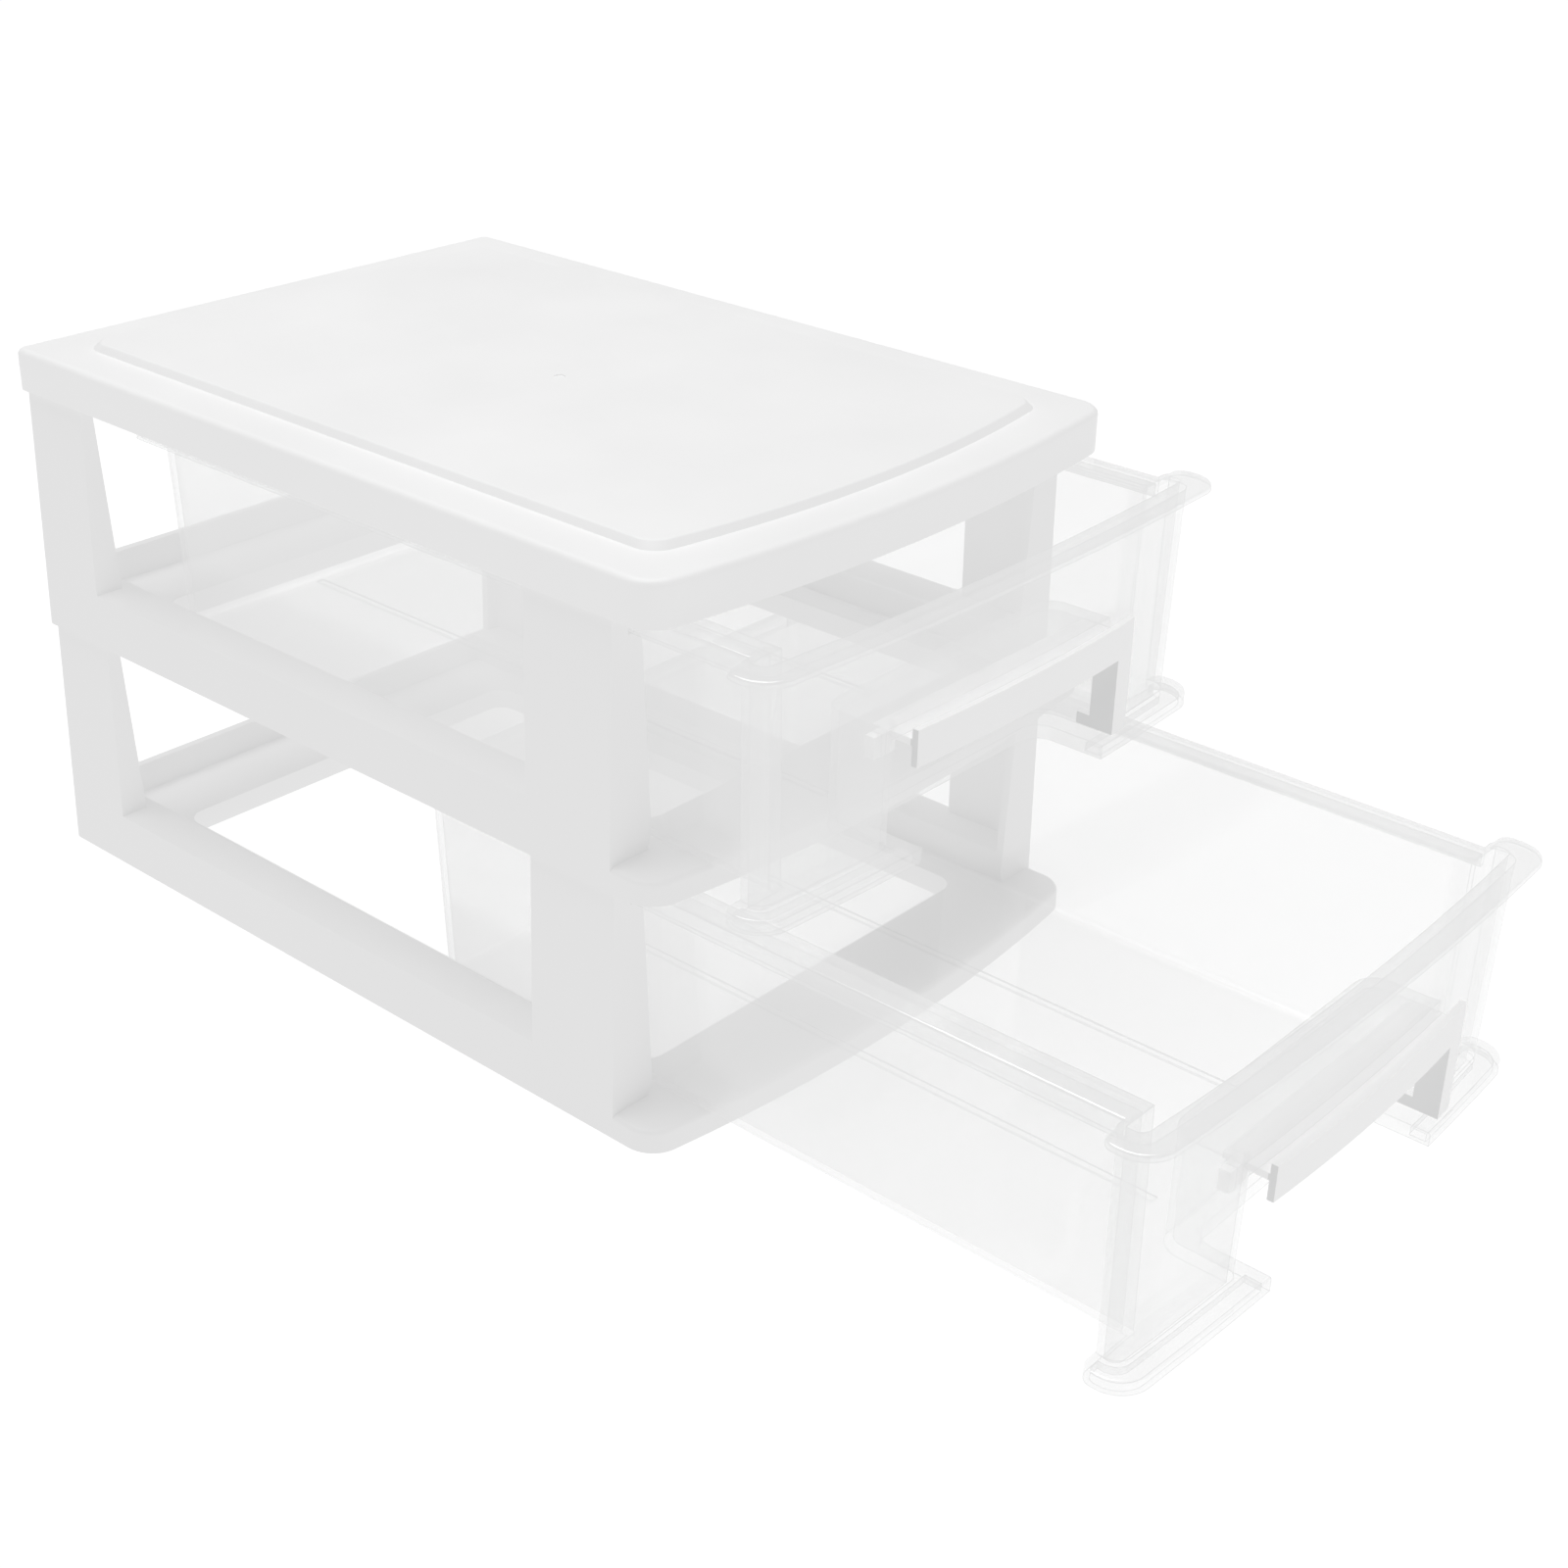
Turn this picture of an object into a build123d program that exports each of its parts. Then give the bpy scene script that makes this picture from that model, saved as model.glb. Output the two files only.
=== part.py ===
from build123d import *
import os

os.makedirs("parts", exist_ok=True)

# A two-tier desktop drawer organizer. The origin is on the desk, under the middle of the
# footprint. The front faces -Y, +Z is up, and lengths are in millimetres.

# Footprint of the cover and of both tier frames
width = 180.0
depth = 258.0
front_bow = 7.5
front_corner_radius = 9.0
rear_corner_radius = 3.0

# Cover
cover_height = 12.0
cover_edge_radius = 2.0
field_side_margin = 13.5
field_front_margin = 12.0
field_rear_margin = 13.0
field_height = 2.0
field_slope = 2.2
field_corner_radius = 7.0
gate_radius = 1.6
gate_depth = 0.3
gate_place = (-3.0, -3.0)

# Tier frames
tier_height = 72.4
tier_draft = 1.7
skin = 2.4
plate_top = 6.7
plate_thickness = 2.2
rail_height = 16.0
rail_width = 13.5
rear_wall = 2.9
opening_side = 23.5
opening_front = 31.5
opening_rear = 26.5
opening_radius = 6.0
edge_radius = 0.8
lip_edge_radius = 1.4

# Corner posts
front_post_setback = 21.2
front_post_length = 29.4
front_flange_foot = 15.0
front_flange_head = 11.6
front_flange_foot_radius = 4.0
front_flange_head_radius = 3.0
rear_post_length = 27.4
rear_flange_width = 7.5
return_foot = 9.6
return_head = 5.5
tongue_height = 5.0
tongue_inset = 3.0
joint_gap = 0.3

# Drawers
slide_gap = 0.3
rim_gap = 0.6
drawer_wall = 1.8
drawer_floor = 1.8
tub_foot_setback = 16.8
tub_head_setback = 14.8
tub_corner_radius = 4.5
tub_foot_radius = 3.0
rear_rim_gap = 7.5
rear_rim_width = 1.2
rear_wall_draft = 1.5
side_rim_width = 7.0
rim_side_gap = 0.6
rim_corner_radius = 2.0
rim_thickness = 1.7
rim_lip_height = 5.5
rim_lip_wall = 1.5
front_step_gap = 1.2
front_panel_setback = 4.0
front_draft = 1.0
front_depth = 11.2
drawer_bow = 3.2
front_radius = 4.5
step_radius = 1.8
front_rim_width = 5.8
foot_width = 6.0
foot_height = 4.0
ear_front_radius = 9.0
ear_rear_radius = 3.6
floor_rib_place = 27.0
floor_rib_width = 2.4
floor_rib_height = 0.5

# Finger recess in the drawer front
recess_left = 40.0
recess_right = 50.2
recess_depth = 22.0
recess_height = 33.5
recess_corner_radius = 5.0
cheek_radius = 3.0
foot_gap_left = 35.5
foot_gap_right = 41.5
foot_gap_depth = 17.5
foot_gap_radius = 6.0

# Handle
handle_wall = 1.8
handle_gap = 0.2
handle_bulge = 2.6
bar_height = 10.0
bar_overlap = 2.6
bar_left_gap = 2.0
leg_width = 6.8
leg_plate = 1.9
stem_length = 5.0
stem_height = 20.0
stem_chamfer = 2.6
toe_length = 9.0
toe_height = 3.4
roof_length = 7.5
tab_length = 4.0
tab_depth = 3.0
tab_height = 4.0

# How far each drawer stands out of the cabinet
upper_opening = 36.0
lower_opening = 143.5

# Levels and lines that follow from the sizes above
half_width = width / 2
front = -depth / 2
rear = depth / 2
post_front = front + front_post_setback
cover_bottom = 2 * tier_height
tub_foot_half = half_width - tub_foot_setback
tub_head_half = half_width - tub_head_setback
front_half_width = half_width - front_panel_setback
drawer_bottom = plate_top + slide_gap
drawer_top = tier_height - rim_gap
drawer_rear = rear - rear_rim_gap
tub_rear = drawer_rear - rear_rim_width
drawer_step = post_front - front_step_gap
panel_front = drawer_step - front_depth
foot_top = drawer_bottom + foot_height
recess_top = drawer_bottom + recess_height


def plan(half, front_line, rear_line, bow, front_round, rear_round, level=0.0):
    """Plan outline with straight sides and a front edge bowed outwards, as a face at one level."""
    left = (-half, front_line + bow)
    right = (half, front_line + bow)
    outline = [
        ThreePointArc(left, (0, front_line), right),
        Line(right, (half, rear_line)),
        Line((half, rear_line), (-half, rear_line)),
        Line((-half, rear_line), left),
    ]
    face = make_face(outline)
    face = fillet(face.vertices().sort_by(Axis.Y)[:2], front_round)
    if rear_round > 0:
        face = fillet(face.vertices().sort_by(Axis.Y)[-2:], rear_round)
    return Pos(0, 0, level) * face


def footprint(inset, level):
    """Common outline of the cover and the frames, drawn in by an inset."""
    return plan(
        half_width - inset,
        front + inset,
        rear - inset,
        front_bow,
        front_corner_radius - inset,
        max(rear_corner_radius - inset, edge_radius),
        level,
    )


def block(x_range, y_range, z_range):
    """Box between two limits on each axis."""
    low = Vector(x_range[0], y_range[0], z_range[0])
    high = Vector(x_range[1], y_range[1], z_range[1])
    size = high - low
    return Pos(*((low + high) * 0.5)) * Box(size.X, size.Y, size.Z)


def both_sides(left_piece):
    """A piece of the left side together with its mirror image on the right."""
    return left_piece + mirror(left_piece, Plane.YZ)


# Cover


def make_cover():
    top = cover_bottom + cover_height
    shell = extrude(footprint(0, cover_bottom), cover_height)
    shell = fillet(shell.edges().group_by(Axis.Z)[-1], cover_edge_radius)
    field_half = half_width - field_side_margin
    field_lines = []
    for slope, level in ((0, top - edge_radius), (field_slope, top + field_height)):
        field_lines.append(
            plan(
                field_half - slope,
                front + field_front_margin + slope,
                rear - field_rear_margin - slope,
                front_bow,
                field_corner_radius,
                field_corner_radius,
                level,
            )
        )
    field = loft(field_lines, ruled=True)
    field = fillet(field.edges().group_by(Axis.Z)[-1], edge_radius)
    hollow = extrude(footprint(skin, cover_bottom), cover_height - plate_thickness)
    gate = Pos(*gate_place, top + field_height) * Cylinder(gate_radius, 2 * gate_depth)
    return shell + field - hollow - gate


# Tier frame: ring and four posts in one moulding


def frame_body(inset):
    """Drafted body over the whole tier height; the ring and posts are cut from it."""
    return loft([footprint(inset, 0), footprint(inset + tier_draft, tier_height)], ruled=True)


def flange(points, y_line, corner_radii):
    """Plate across the tier, drawn in the XZ plane, with some of its corners rounded."""
    face = make_face(Polyline(*points, close=True))
    for corner, radius in corner_radii:
        face = fillet(face.vertices().sort_by_distance((corner[0], corner[1], 0))[0], radius)
    return extrude(Pos(0, y_line, 0) * Rot(90, 0, 0) * face, -skin)


def make_ring(body):
    far = width + depth
    rail_inner = half_width - rail_width
    plate = body & block((-far, far), (-far, far), (0, plate_top))
    front_edges = plate.edges().group_by(Axis.Z)[-1].filter_by_position(Axis.Y, -far, post_front)
    plate = fillet(front_edges, lip_edge_radius)
    rail = body & block((-far, -rail_inner), (post_front, far), (0, rail_height))
    rail = fillet(rail.edges().group_by(Axis.Z)[-1].filter_by(Axis.Y), edge_radius)
    rear_bar = body & block((-far, far), (rear - rear_wall, far), (0, rail_height))
    ring = plate + both_sides(rail) + rear_bar

    opening_x = (-half_width + opening_side, half_width - opening_side)
    opening_y = (front + opening_front, rear - opening_rear)
    opening_middle = Pos(0, sum(opening_y) / 2, 0)
    opening_size = (opening_x[1] - opening_x[0], opening_y[1] - opening_y[0])
    opening = extrude(opening_middle * RectangleRounded(*opening_size, opening_radius), plate_top)
    collar_size = (opening_size[0] + 2 * skin, opening_size[1] + 2 * skin)
    collar = extrude(opening_middle * RectangleRounded(*collar_size, opening_radius + skin), plate_top)

    under_plate = extrude(footprint(skin, 0), plate_top - plate_thickness) - collar
    under_rail = block(
        (-half_width + skin, -rail_inner - skin),
        (post_front + skin, rear - rear_wall),
        (0, rail_height - plate_thickness),
    )
    return ring - under_plate - both_sides(under_rail) - opening


def make_posts(body):
    far = width + depth
    skin_shell = body - frame_body(skin)
    side = (-far, -half_width + tier_draft + skin)
    post_back = post_front + front_post_length
    front_plate = skin_shell & block(side, (post_front, post_back), (plate_top, tier_height))
    rim_shelf = drawer_top - rim_lip_height - joint_gap
    rim_side = -tub_head_half - side_rim_width - rim_side_gap
    head = -half_width + front_flange_head
    foot = -half_width + front_flange_foot
    front_flange = flange(
        [
            (-half_width, plate_top),
            (foot, plate_top),
            (head, rim_shelf),
            (rim_side, rim_shelf),
            (rim_side, tier_height),
            (-half_width, tier_height),
        ],
        post_front,
        [((foot, plate_top), front_flange_foot_radius), ((head, rim_shelf), front_flange_head_radius)],
    )
    rear_start = rear - rear_post_length
    rear_plate = skin_shell & block(
        (-far, -half_width + rear_flange_width), (rear_start, far), (plate_top, tier_height)
    )
    return_flange = flange(
        [
            (-half_width, plate_top),
            (-half_width + return_foot, plate_top),
            (-half_width + return_head, tier_height),
            (-half_width, tier_height),
        ],
        rear_start,
        [],
    )
    tongue_x = (-half_width + skin + joint_gap, -half_width + tier_draft + skin)
    tongue_z = (tier_height - skin, tier_height + tongue_height)
    front_tongue = block(tongue_x, (post_front + tongue_inset, post_back - tongue_inset), tongue_z)
    rear_tongue = block(tongue_x, (rear_start + tongue_inset, rear - rear_wall - tongue_inset), tongue_z)
    drafted = (front_plate + front_flange + rear_plate + return_flange) & body
    return both_sides(drafted + front_tongue + rear_tongue)


def make_frame():
    body = frame_body(0)
    return make_ring(body) + make_posts(body)


# Drawer, drawn where it stands when its tier is closed


def tub(inset, bottom):
    """Drafted tub of the drawer, drawn in by an inset."""
    sections = []
    start = drawer_step - front_depth / 2
    for half, back, level in (
        (tub_foot_half, tub_rear - rear_wall_draft, drawer_bottom),
        (tub_head_half, tub_rear, drawer_top),
    ):
        outline = RectangleRounded(2 * (half - inset), back - inset - start, tub_corner_radius - inset)
        sections.append(Pos(0, (start + back - inset) / 2, level) * outline)
    body = loft(sections, ruled=True)
    far = width + depth
    body = body & block((-far, far), (-far, far), (bottom, drawer_top))
    return fillet(body.edges().group_by(Axis.Z)[0], tub_foot_radius - inset)


def front_box(inset, bottom):
    """Wide front part of the drawer, between the step behind the posts and the bowed panel."""
    sections = []
    for draft, level in ((front_draft, drawer_bottom), (0, drawer_top)):
        sections.append(
            plan(
                front_half_width - inset - draft,
                panel_front + inset + draft,
                drawer_step - inset,
                drawer_bow,
                front_radius - inset,
                max(step_radius - inset, 0),
                level,
            )
        )
    far = width + depth
    return loft(sections, ruled=True) & block((-far, far), (-far, far), (bottom, drawer_top))


def recess(grow, bottom, corner):
    """Finger recess with its rounded back corners, grown by a wall where that is wanted."""
    left = -recess_left - grow
    right = recess_right + grow
    back = panel_front + recess_depth + grow
    mouth = panel_front - drawer_bow - foot_width
    outline = Pos((left + right) / 2, (mouth + back) / 2, bottom) * Rectangle(right - left, back - mouth)
    outline = fillet(outline.vertices().sort_by(Axis.Y)[-2:], corner)
    return extrude(outline, recess_top + grow - bottom)


def make_rims():
    """Turned-out rim along the sides and back, and the flat rim round the front."""
    rim_half = tub_head_half + side_rim_width
    rim_start = drawer_step
    rim_length = drawer_rear - rim_start
    outline = Pos(0, (rim_start + drawer_rear) / 2, 0) * Rectangle(2 * rim_half, rim_length)
    outline = fillet(outline.vertices().sort_by(Axis.Y)[-2:], rim_corner_radius)
    inside = Pos(0, (rim_start + drawer_rear) / 2 - rim_lip_wall, 0) * Rectangle(
        2 * (rim_half - rim_lip_wall), rim_length
    )
    side_rim = Pos(0, 0, drawer_top - rim_lip_height) * extrude(outline, rim_lip_height)
    side_rim = fillet(side_rim.edges().group_by(Axis.Z)[-1].sort_by(Axis.Y)[1:], edge_radius)
    under_rim = Pos(0, 0, drawer_top - rim_lip_height) * extrude(inside, rim_lip_height - rim_thickness)
    front_rim = extrude(
        plan(
            front_half_width + front_rim_width,
            panel_front - front_rim_width,
            drawer_step,
            drawer_bow,
            ear_front_radius,
            ear_rear_radius,
            drawer_top - rim_thickness,
        ),
        rim_thickness,
    )
    front_rim = fillet(front_rim.edges().group_by(Axis.Z)[-1], edge_radius)
    return side_rim - under_rim + front_rim


def foot_outline(inset):
    """Outline of the turned-out foot round the bottom of the front, drawn in by an inset."""
    return plan(
        front_half_width - front_draft + foot_width - inset,
        panel_front + front_draft - foot_width + inset,
        drawer_step - inset,
        drawer_bow,
        ear_front_radius - inset,
        ear_rear_radius - inset,
        drawer_bottom,
    )


def make_foot():
    """Foot flange with a turned-down edge, hollow below except beside the finger recess."""
    far = width + depth
    foot = extrude(foot_outline(0), foot_height)
    foot = fillet(foot.edges().group_by(Axis.Z)[-1], edge_radius)
    under_foot = extrude(foot_outline(rim_lip_wall), foot_height - rim_thickness)
    kept = block(
        (-foot_gap_left - rim_lip_wall, foot_gap_right + rim_lip_wall), (-far, far), (0, tier_height)
    )
    return foot - (under_foot - kept)


def tab_slot(gap):
    """Where the handle's hook passes through the recess's left wall, with a gap round it."""
    behind_panel = panel_front + drawer_bow + drawer_wall
    return block(
        (-recess_left - tab_length - gap, -recess_left + tab_length),
        (behind_panel - gap, behind_panel + tab_depth + gap),
        (recess_top - handle_gap - handle_wall - tab_height - gap, recess_top - handle_gap + gap),
    )


def make_drawer():
    outside = tub(0, drawer_bottom) + front_box(0, drawer_bottom) + make_foot() + make_rims()
    inner_floor = drawer_bottom + drawer_floor
    inside = tub(drawer_wall, inner_floor) + front_box(drawer_wall, inner_floor)
    inside = inside - recess(drawer_wall, drawer_bottom, recess_corner_radius + drawer_wall)
    gap_middle = (foot_gap_right - foot_gap_left) / 2
    gap_back = panel_front + foot_gap_depth
    gap_front = panel_front - drawer_bow - 2 * foot_width
    gap_outline = Pos(gap_middle, (gap_front + gap_back) / 2, drawer_bottom) * Rectangle(
        foot_gap_left + foot_gap_right, gap_back - gap_front
    )
    gap_outline = fillet(gap_outline.vertices().sort_by(Axis.Y)[-2:], foot_gap_radius)
    foot_gap = extrude(gap_outline, foot_height)
    shell = outside - inside - recess(0, foot_top, recess_corner_radius) - foot_gap
    cheek_edges = shell.edges().filter_by(
        lambda edge: edge.bounding_box().size.Z > recess_height / 2
        and abs(edge.center().X + recess_left) < edge_radius
        and edge.center().Y < panel_front + drawer_bow
    )
    shell = fillet(cheek_edges, cheek_radius) - tab_slot(joint_gap)
    rib_length = tub_rear - rear_wall_draft - drawer_step - recess_depth - tub_corner_radius
    rib_middle = (drawer_step + recess_depth + tub_rear - rear_wall_draft - tub_corner_radius) / 2
    for side in (-1, 1):
        rib = Box(floor_rib_width, rib_length, floor_rib_height)
        shell += Pos(side * floor_rib_place, rib_middle, inner_floor + floor_rib_height / 2) * rib
    return shell


# Handle: a bowed bar with one leg, hooked into the drawer front at its other end


def make_handle():
    far = width + depth
    bar_bottom = recess_top + bar_overlap - bar_height
    bar_top = recess_top + bar_overlap
    bar_left = -recess_left + bar_left_gap
    leg_right = recess_right - handle_gap - leg_plate + leg_width
    panel_bow = drawer_bow + handle_bulge
    skins = []
    for grow in (handle_gap + handle_wall, handle_gap):
        skins.append(
            extrude(
                plan(
                    front_half_width,
                    panel_front - handle_bulge - grow,
                    rear,
                    panel_bow,
                    front_radius,
                    front_radius,
                    drawer_bottom,
                ),
                drawer_top - drawer_bottom,
            )
        )
    front_skin = skins[0] - skins[1]
    bar = front_skin & block((bar_left, leg_right), (-far, 0), (bar_bottom, bar_top))
    leg_left = leg_right - leg_width
    leg = front_skin & block((leg_left, leg_right), (-far, 0), (foot_top + handle_gap, bar_top))
    roof_z = (recess_top - handle_gap - handle_wall, recess_top - handle_gap)
    roof_back = panel_front + drawer_bow + roof_length
    roof = skins[1] & block((bar_left, leg_left + leg_plate), (-far, roof_back), roof_z)
    stem_front = panel_front - handle_gap
    toe_z = foot_top + handle_gap
    stem_points = [
        (stem_front - handle_bulge, toe_z),
        (stem_front + toe_length, toe_z),
        (stem_front + toe_length, toe_z + toe_height),
        (stem_front + stem_length, toe_z + toe_height),
        (stem_front + stem_length, toe_z + stem_height - stem_chamfer),
        (stem_front + stem_length - stem_chamfer, toe_z + stem_height),
        (stem_front - handle_bulge, toe_z + stem_height),
    ]
    stem_face = make_face(Polyline(*[(0, y, z) for y, z in stem_points], close=True))
    stem = Pos(leg_left, 0, 0) * extrude(stem_face, leg_plate, dir=(1, 0, 0))
    stem = stem & skins[0]
    return bar + leg + roof + stem + tab_slot(0)


# Assembly

frame = make_frame()
drawer = make_drawer()
handle = make_handle()
upper_place = Pos(0, -upper_opening, tier_height)
lower_place = Pos(0, -lower_opening, 0)
pieces = {
    "cover": make_cover(),
    "upper_frame": Pos(0, 0, tier_height) * frame,
    "lower_frame": frame,
    "upper_drawer": upper_place * drawer,
    "lower_drawer": lower_place * drawer,
    "upper_handle": upper_place * handle,
    "lower_handle": lower_place * handle,
}
for name, shape in pieces.items():
    export_step(shape, f"parts/{name}.step")
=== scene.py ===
import math
import bmesh
import bpy
from mathutils import Matrix, Vector


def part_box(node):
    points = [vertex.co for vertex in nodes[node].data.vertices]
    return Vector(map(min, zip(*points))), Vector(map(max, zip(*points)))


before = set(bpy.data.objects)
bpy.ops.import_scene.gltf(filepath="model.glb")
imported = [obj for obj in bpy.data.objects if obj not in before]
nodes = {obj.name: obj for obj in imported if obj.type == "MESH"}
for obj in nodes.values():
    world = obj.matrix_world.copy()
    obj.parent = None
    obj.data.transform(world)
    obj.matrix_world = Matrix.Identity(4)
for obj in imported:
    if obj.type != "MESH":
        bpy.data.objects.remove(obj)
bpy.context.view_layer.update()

# Tier frames: two alike mouldings of white high-impact polystyrene, each a ring with four corner
# posts. The upper one plugs onto the posts of the lower one. The mould was lightly blasted, so the
# skin is satin, with a very fine grain and faint cloudy flow in the white.


def linear(code):
    """An sRGB hex colour as linear red, green, blue and alpha."""
    shares = [int(code[i : i + 2], 16) / 255 for i in (1, 3, 5)]
    return [s / 12.92 if s <= 0.04045 else ((s + 0.055) / 1.055) ** 2.4 for s in shares] + [1.0]


def add_node(tree, kind, inputs=(), **settings):
    """Adds one shader node; inputs pairs a socket's name with a value or with an output to link."""
    made = tree.nodes.new(kind)
    for name, value in settings.items():
        setattr(made, name, value)
    for name, value in inputs:
        if isinstance(value, bpy.types.NodeSocket):
            tree.links.new(value, made.inputs[name])
        else:
            made.inputs[name].default_value = value
    return made


def per_metre(millimetres):
    """Texture scale that gives a pattern of the wanted size, in Object coordinates in metres."""
    return 1000.0 / millimetres


def new_material(name):
    """An empty node material with its tree, its output and Object coordinates."""
    material = bpy.data.materials.new(name)
    material.use_nodes = True
    tree = material.node_tree
    tree.nodes.clear()
    output = add_node(tree, "ShaderNodeOutputMaterial")
    place = add_node(tree, "ShaderNodeTexCoord").outputs["Object"]
    return material, tree, output, place


def moulded_white(name, light, dark, roughness):
    """White moulded polystyrene: cloudy flow in the colour, a fine blasted grain, a satin gloss."""
    material, tree, output, place = new_material(name)
    flow = add_node(
        tree,
        "ShaderNodeTexNoise",
        [("Vector", place), ("Scale", per_metre(55)), ("Detail", 3.0), ("Roughness", 0.55)],
    )
    tint = add_node(tree, "ShaderNodeValToRGB", [("Fac", flow.outputs["Fac"])])
    tint.color_ramp.elements[0].position = 0.3
    tint.color_ramp.elements[0].color = linear(dark)
    tint.color_ramp.elements[1].position = 0.7
    tint.color_ramp.elements[1].color = linear(light)
    # The real grain is under 0.1 mm; it is drawn coarser, so that it shows.
    grain = add_node(
        tree, "ShaderNodeTexNoise", [("Vector", place), ("Scale", per_metre(0.7)), ("Detail", 2.0)]
    )
    relief = add_node(
        tree,
        "ShaderNodeBump",
        [("Height", grain.outputs["Fac"]), ("Strength", 0.05), ("Distance", 0.0002)],
    )
    gloss = add_node(
        tree,
        "ShaderNodeMapRange",
        [("Value", flow.outputs["Fac"]), ("To Min", roughness - 0.05), ("To Max", roughness + 0.05)],
    )
    shader = add_node(
        tree,
        "ShaderNodeBsdfPrincipled",
        [
            ("Base Color", tint.outputs["Color"]),
            ("Roughness", gloss.outputs["Result"]),
            ("Normal", relief.outputs["Normal"]),
            ("IOR", 1.55),
        ],
    )
    tree.links.new(shader.outputs["BSDF"], output.inputs["Surface"])
    return material


def wear(node, material):
    """Puts one material on a whole solid of the frame."""
    nodes[node].data.materials.clear()
    nodes[node].data.materials.append(material)


# The frames' white is drawn darker than the cover's and the handles' white of the same polystyrene:
# painted shade, which keeps the frames dimmer than the cover.
frame_white_painted_shade = moulded_white("white_polystyrene_satin", "#ededed", "#e9e9e9", 0.36)
wear("lower_frame", frame_white_painted_shade)
wear("upper_frame", frame_white_painted_shade)

# Cover: one moulding of the same white polystyrene, pressed onto the upper posts. Its top has a low
# raised field, polished a little finer than the frames.

cover_white = moulded_white("white_polystyrene_fine_satin", "#fdfdfd", "#f9f9f9", 0.34)
cover_skin = cover_white.node_tree.nodes["Principled BSDF"]
cover_skin.inputs["Specular IOR Level"].default_value = 0.2
wear("cover", cover_white)

# Drawers: two alike mouldings of crystal-clear polystyrene from a polished mould, which slide on the
# rings' ledges. Thin walls let nearly all light through. The grey on the edges is painted shade, in
# place of the darker surroundings that real edges show by refraction. The rims and the front box look
# milky, because light crosses more plastic there.

rim_depth = 0.0020
rim_blend = 0.0004
front_depth = 0.026
front_blend = 0.006
edge_width = 0.0005


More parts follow.
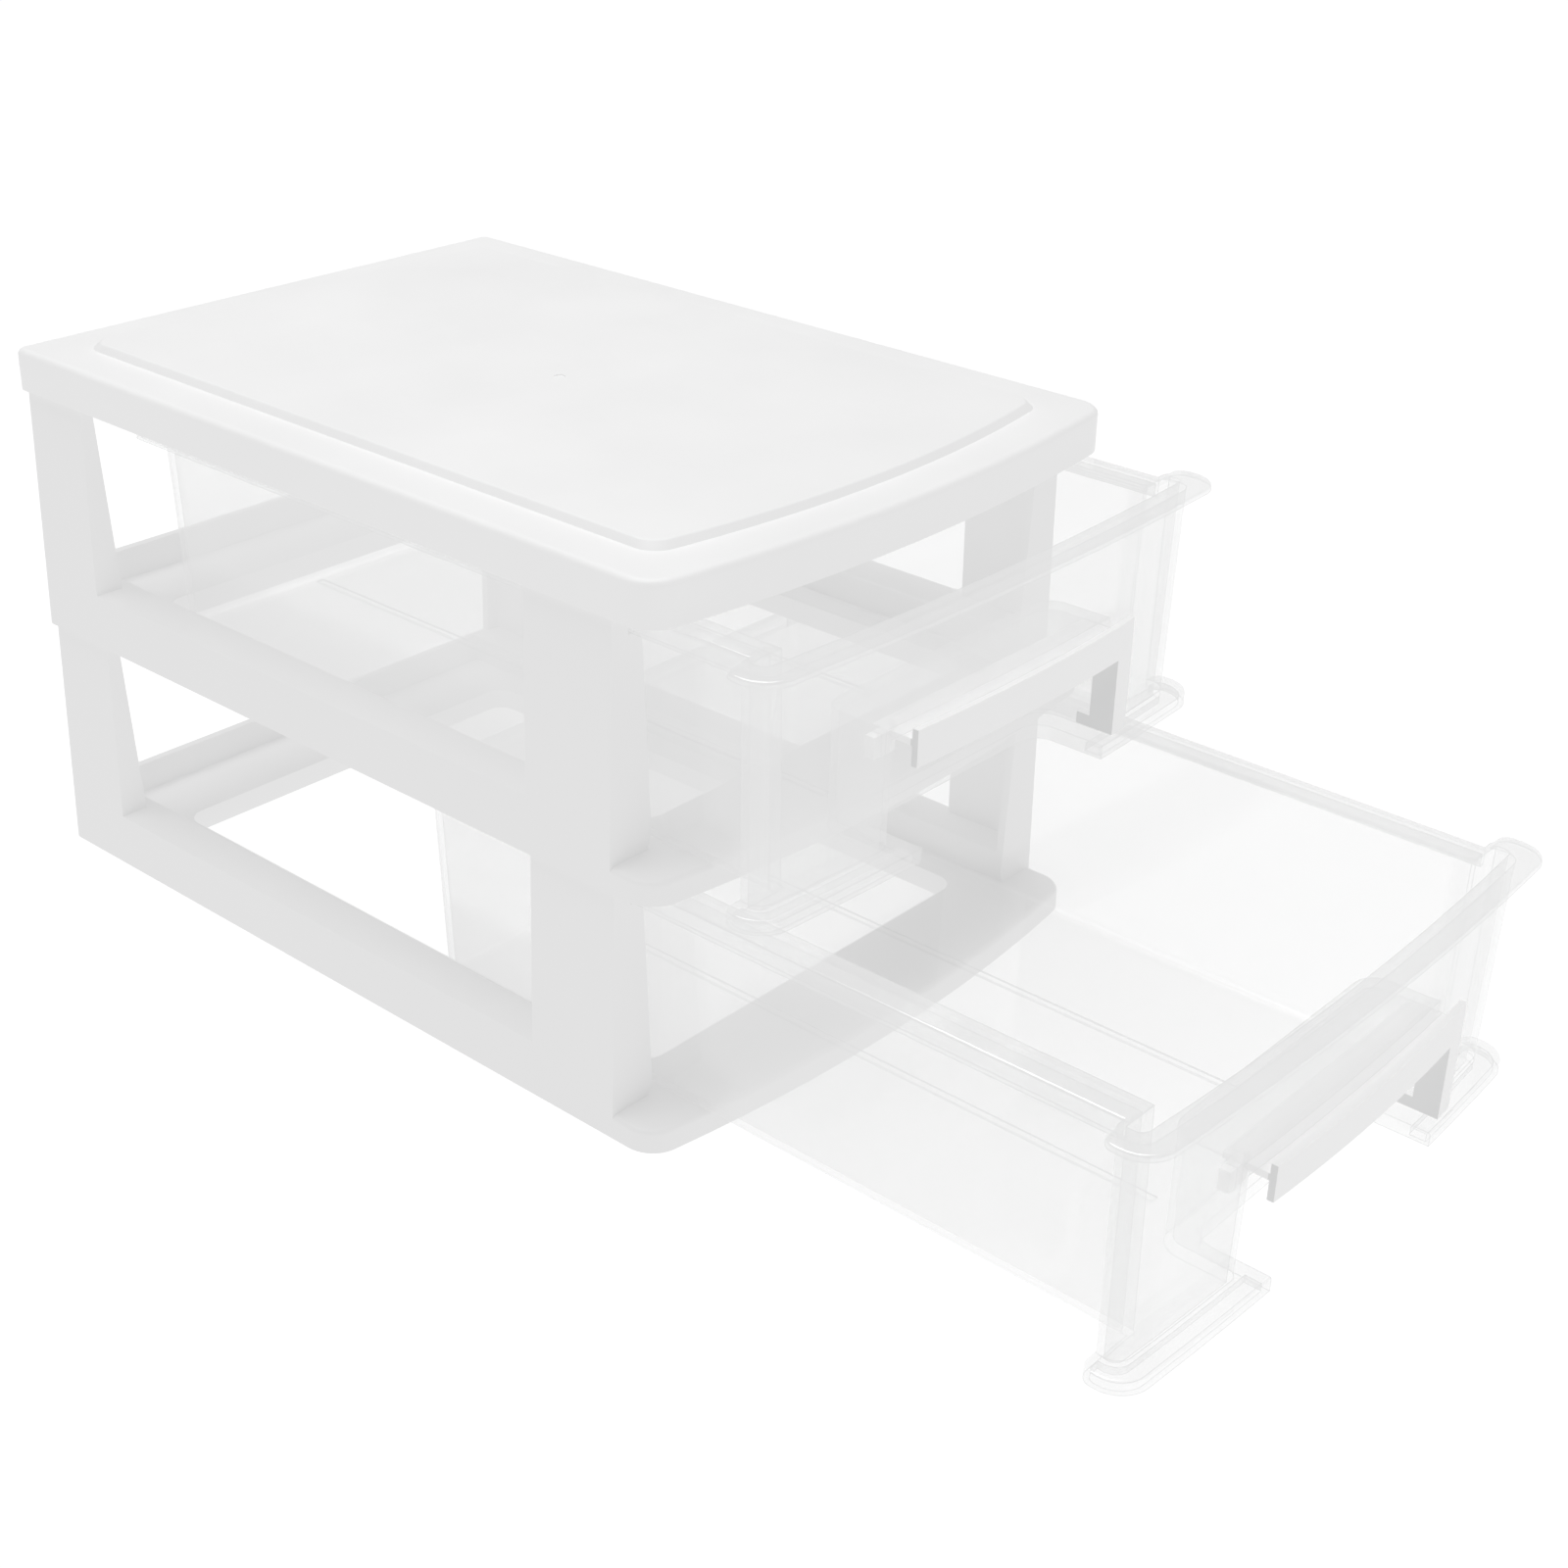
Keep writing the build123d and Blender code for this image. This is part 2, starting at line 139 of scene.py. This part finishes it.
def clear_polystyrene(name, rim_level, front_line):
    """Thin clear walls: see-through face on, whiter where seen aslant, in the rims and at the front;
    painted grey shade on the edges.
    """
    material, tree, output, place = new_material(name)
    ripple = add_node(
        tree, "ShaderNodeTexNoise", [("Vector", place), ("Scale", per_metre(24)), ("Detail", 1.0)]
    )
    relief = add_node(
        tree,
        "ShaderNodeBump",
        [("Height", ripple.outputs["Fac"]), ("Strength", 0.04), ("Distance", 0.001)],
    )
    shine = add_node(
        tree,
        "ShaderNodeBsdfGlossy",
        [("Color", linear("#fafbfb")), ("Roughness", 0.06), ("Normal", relief.outputs["Normal"])],
    )
    # Edges are found where a slightly rounded surface would turn away from the real one.
    rounded = add_node(tree, "ShaderNodeBevel", [("Radius", edge_width)], samples=6)
    surface = add_node(tree, "ShaderNodeNewGeometry")
    alike = add_node(
        tree,
        "ShaderNodeVectorMath",
        [(0, rounded.outputs["Normal"]), (1, surface.outputs["Normal"])],
        operation="DOT_PRODUCT",
    )
    edge = add_node(
        tree,
        "ShaderNodeMapRange",
        [("Value", alike.outputs["Value"]), ("From Min", 1.0), ("From Max", 0.88), ("To Max", 0.5)],
    )
    # The haze is painted grey on the edges: painted shade, in place of the darker surroundings that
    # real edges show by refraction.
    milk_and_edge_shade = add_node(tree, "ShaderNodeValToRGB", [("Fac", edge.outputs["Result"])])
    milk_and_edge_shade.color_ramp.elements[0].color = linear("#fdfdfd")
    milk_and_edge_shade.color_ramp.elements[1].position = 0.5
    milk_and_edge_shade.color_ramp.elements[1].color = linear("#a9acac")
    front_haze = add_node(tree, "ShaderNodeBsdfDiffuse", [("Color", milk_and_edge_shade.outputs["Color"])])
    rear_haze = add_node(tree, "ShaderNodeBsdfTranslucent", [("Color", milk_and_edge_shade.outputs["Color"])])
    haze = add_node(
        tree,
        "ShaderNodeMixShader",
        [(0, 0.5), (1, front_haze.outputs["BSDF"]), (2, rear_haze.outputs["BSDF"])],
    )
    skin = add_node(
        tree,
        "ShaderNodeMixShader",
        [(0, 0.65), (1, shine.outputs["BSDF"]), (2, haze.outputs["Shader"])],
    )
    passing = add_node(tree, "ShaderNodeBsdfTransparent", [("Color", linear("#fefefe"))])
    slant = add_node(tree, "ShaderNodeLayerWeight", [("Blend", 0.25)])
    share = add_node(
        tree,
        "ShaderNodeMapRange",
        [("Value", slant.outputs["Facing"]), ("To Min", 0.1), ("To Max", 0.5)],
    )
    level = add_node(tree, "ShaderNodeSeparateXYZ", [("Vector", place)])
    rim = add_node(
        tree,
        "ShaderNodeMapRange",
        [
            ("Value", level.outputs["Z"]),
            ("From Min", rim_level - rim_depth),
            ("From Max", rim_level - rim_depth + rim_blend),
            ("To Max", 0.34),
        ],
    )
    front = add_node(
        tree,
        "ShaderNodeMapRange",
        [
            ("Value", level.outputs["Y"]),
            ("From Min", front_line + front_depth),
            ("From Max", front_line + front_depth - front_blend),
            ("To Max", 0.22),
        ],
    )
    lines = add_node(
        tree,
        "ShaderNodeMath",
        [(0, rim.outputs["Result"]), (1, edge.outputs["Result"])],
        operation="MAXIMUM",
    )
    thick = add_node(
        tree,
        "ShaderNodeMath",
        [(0, lines.outputs["Value"]), (1, front.outputs["Result"])],
        operation="MAXIMUM",
    )
    milky = add_node(
        tree,
        "ShaderNodeMath",
        [(0, share.outputs["Result"]), (1, thick.outputs["Value"])],
        operation="MAXIMUM",
    )
    # Such thin walls hardly dim the light that goes through them to the pieces behind.
    ray = add_node(tree, "ShaderNodeLightPath")
    lighting = add_node(
        tree,
        "ShaderNodeMath",
        [(0, ray.outputs["Is Shadow Ray"]), (1, ray.outputs["Is Diffuse Ray"])],
        operation="MAXIMUM",
    )
    kept = add_node(
        tree,
        "ShaderNodeMapRange",
        [("Value", lighting.outputs["Value"]), ("To Min", 1.0), ("To Max", 0.2)],
    )
    shown = add_node(
        tree,
        "ShaderNodeMath",
        [(0, milky.outputs["Value"]), (1, kept.outputs["Result"])],
        operation="MULTIPLY",
    )
    wall = add_node(
        tree,
        "ShaderNodeMixShader",
        [(0, shown.outputs["Value"]), (1, passing.outputs["BSDF"]), (2, skin.outputs["Shader"])],
    )
    tree.links.new(wall.outputs["Shader"], output.inputs["Surface"])
    return material


for drawer in ("lower_drawer", "upper_drawer"):
    low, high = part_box(drawer)
    wear(drawer, clear_polystyrene("clear_polystyrene_" + drawer, high[2], low[1]))

# Handles: small mouldings of white polystyrene that bridge the finger recesses. Each hooks through
# the recess's left wall and stands on its one leg at the right.

leg_side = 0.03
bar_depth = 0.0034


def handle_white(name, front_line):
    """Handle plastic, greyer on the bar's left end and the leg's left side, which lie in shade."""
    material = moulded_white(name, "#fdfdfd", "#fafafa", 0.38)
    tree = material.node_tree
    surface = add_node(tree, "ShaderNodeNewGeometry")
    facing = add_node(tree, "ShaderNodeSeparateXYZ", [("Vector", surface.outputs["True Normal"])])
    place = add_node(tree, "ShaderNodeTexCoord").outputs["Object"]
    spot = add_node(tree, "ShaderNodeSeparateXYZ", [("Vector", place)])
    at_leg = add_node(
        tree,
        "ShaderNodeMath",
        [(0, spot.outputs["X"]), (1, leg_side)],
        operation="GREATER_THAN",
    )
    at_bar = add_node(
        tree,
        "ShaderNodeMath",
        [(0, spot.outputs["Y"]), (1, front_line + bar_depth)],
        operation="LESS_THAN",
    )
    near = add_node(
        tree,
        "ShaderNodeMath",
        [(0, at_leg.outputs["Value"]), (1, at_bar.outputs["Value"])],
        operation="MAXIMUM",
    )
    shaded = add_node(
        tree,
        "ShaderNodeMapRange",
        [
            ("Value", facing.outputs["X"]),
            ("From Min", -0.6),
            ("From Max", -0.9),
            ("To Max", near.outputs["Value"]),
        ],
    )
    shader = tree.nodes["Principled BSDF"]
    tint = shader.inputs["Base Color"].links[0].from_socket
    greyer = add_node(
        tree,
        "ShaderNodeMix",
        [(0, shaded.outputs["Result"]), (6, tint), (7, linear("#b9baba"))],
        data_type="RGBA",
    )
    tree.links.new(greyer.outputs[2], shader.inputs["Base Color"])
    return material


for handle in ("lower_handle", "upper_handle"):
    wear(handle, handle_white("white_polystyrene_" + handle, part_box(handle)[0][1]))

# Floor, light and camera: a white paper sweep on a table, in soft, even studio light from all round.
# One soft box hangs above and a weak one stands at the front right, with a bright finish.


def studio_floor():
    """A white paper sheet, lit so evenly that it hardly takes a shadow."""
    mesh = bpy.data.meshes.new("studio_floor")
    sheet = bmesh.new()
    bmesh.ops.create_grid(sheet, x_segments=1, y_segments=1, size=4.0)
    sheet.to_mesh(mesh)
    sheet.free()
    floor = bpy.data.objects.new("studio_floor", mesh)
    bpy.context.collection.objects.link(floor)
    paper, tree, output, _ = new_material("white_paper_sweep")
    paper_white = add_node(tree, "ShaderNodeBsdfDiffuse", [("Color", linear("#f4f4f4"))])
    glow = add_node(tree, "ShaderNodeEmission", [("Color", linear("#ffffff")), ("Strength", 1.08)])
    lit = add_node(
        tree,
        "ShaderNodeMixShader",
        [(0, 0.9), (1, paper_white.outputs["BSDF"]), (2, glow.outputs["Emission"])],
    )
    tree.links.new(lit.outputs["Shader"], output.inputs["Surface"])
    mesh.materials.append(paper)


def studio_backdrop():
    """White all round behind the table; it is seen, but lights nothing."""
    mesh = bpy.data.meshes.new("studio_backdrop")
    ball = bmesh.new()
    bmesh.ops.create_uvsphere(ball, u_segments=32, v_segments=16, radius=5.0)
    ball.to_mesh(mesh)
    ball.free()
    backdrop = bpy.data.objects.new("studio_backdrop", mesh)
    bpy.context.collection.objects.link(backdrop)
    white, tree, output, _ = new_material("white_backdrop")
    glow = add_node(tree, "ShaderNodeEmission", [("Color", linear("#ffffff")), ("Strength", 1.03)])
    tree.links.new(glow.outputs["Emission"], output.inputs["Surface"])
    mesh.materials.append(white)
    backdrop.visible_diffuse = False
    backdrop.visible_glossy = False
    backdrop.visible_shadow = False


def soft_box(name, place, size, power, mirrored):
    """Square soft light that faces the middle of the object, seen in its gloss where mirrored."""
    lamp = bpy.data.lights.new(name, "AREA")
    lamp.shape = "SQUARE"
    lamp.size = size
    lamp.energy = power
    light = bpy.data.objects.new(name, lamp)
    light.location = place
    aim = Vector((0.0, -0.05, 0.08)) - Vector(place)
    light.rotation_euler = aim.to_track_quat("-Z", "Y").to_euler()
    light.visible_glossy = mirrored
    bpy.context.collection.objects.link(light)


studio_floor()
studio_backdrop()
world = bpy.data.worlds.new("white_studio")
bpy.context.scene.world = world
world.use_nodes = True
world.node_tree.nodes["Background"].inputs["Color"].default_value = (1.0, 1.0, 1.0, 1.0)
world.node_tree.nodes["Background"].inputs["Strength"].default_value = 0.26
soft_box("soft_box_above", (-0.1, 0.3, 1.9), size=1.6, power=27.0, mirrored=True)
soft_box("soft_box_front", (0.3, -1.7, 0.6), size=1.2, power=3.5, mirrored=False)
tones = bpy.context.scene.view_settings
tones.view_transform = "Standard"
tones.use_curve_mapping = True
bright_finish = ((0.15, 0.42), (0.3, 0.59), (0.42, 0.67), (0.55, 0.735), (0.75, 0.805), (0.9, 0.92))
for dark, lifted in bright_finish:
    tones.curve_mapping.curves[3].points.new(dark, lifted)
tones.curve_mapping.update()
bpy.context.scene.cycles.transparent_max_bounces = 32
bpy.context.scene.cycles.max_bounces = 24
bpy.context.scene.cycles.diffuse_bounces = 12

view_azimuth = math.radians(-49.43)
view_elevation = math.radians(27.30)
view_roll = math.radians(1.48)
view_distance = 0.7425
view_offset = (0.06876, 0.02543)
view_centre = Vector((0.0, 0.004, 0.0))
focal_share = 2457.0 / 1600.0

turn = (
    Matrix.Rotation(view_azimuth, 4, "Z")
    @ Matrix.Rotation(math.pi / 2 - view_elevation, 4, "X")
    @ Matrix.Rotation(view_roll, 4, "Z")
)
lens = bpy.data.cameras.new("photo_view")
lens.sensor_width = 36.0
lens.lens = 36.0 * focal_share
camera = bpy.data.objects.new("photo_view", lens)
camera.matrix_world = Matrix.Translation(view_centre) @ turn @ Matrix.Translation(
    (view_offset[0], view_offset[1], view_distance)
)
bpy.context.collection.objects.link(camera)
bpy.context.scene.camera = camera
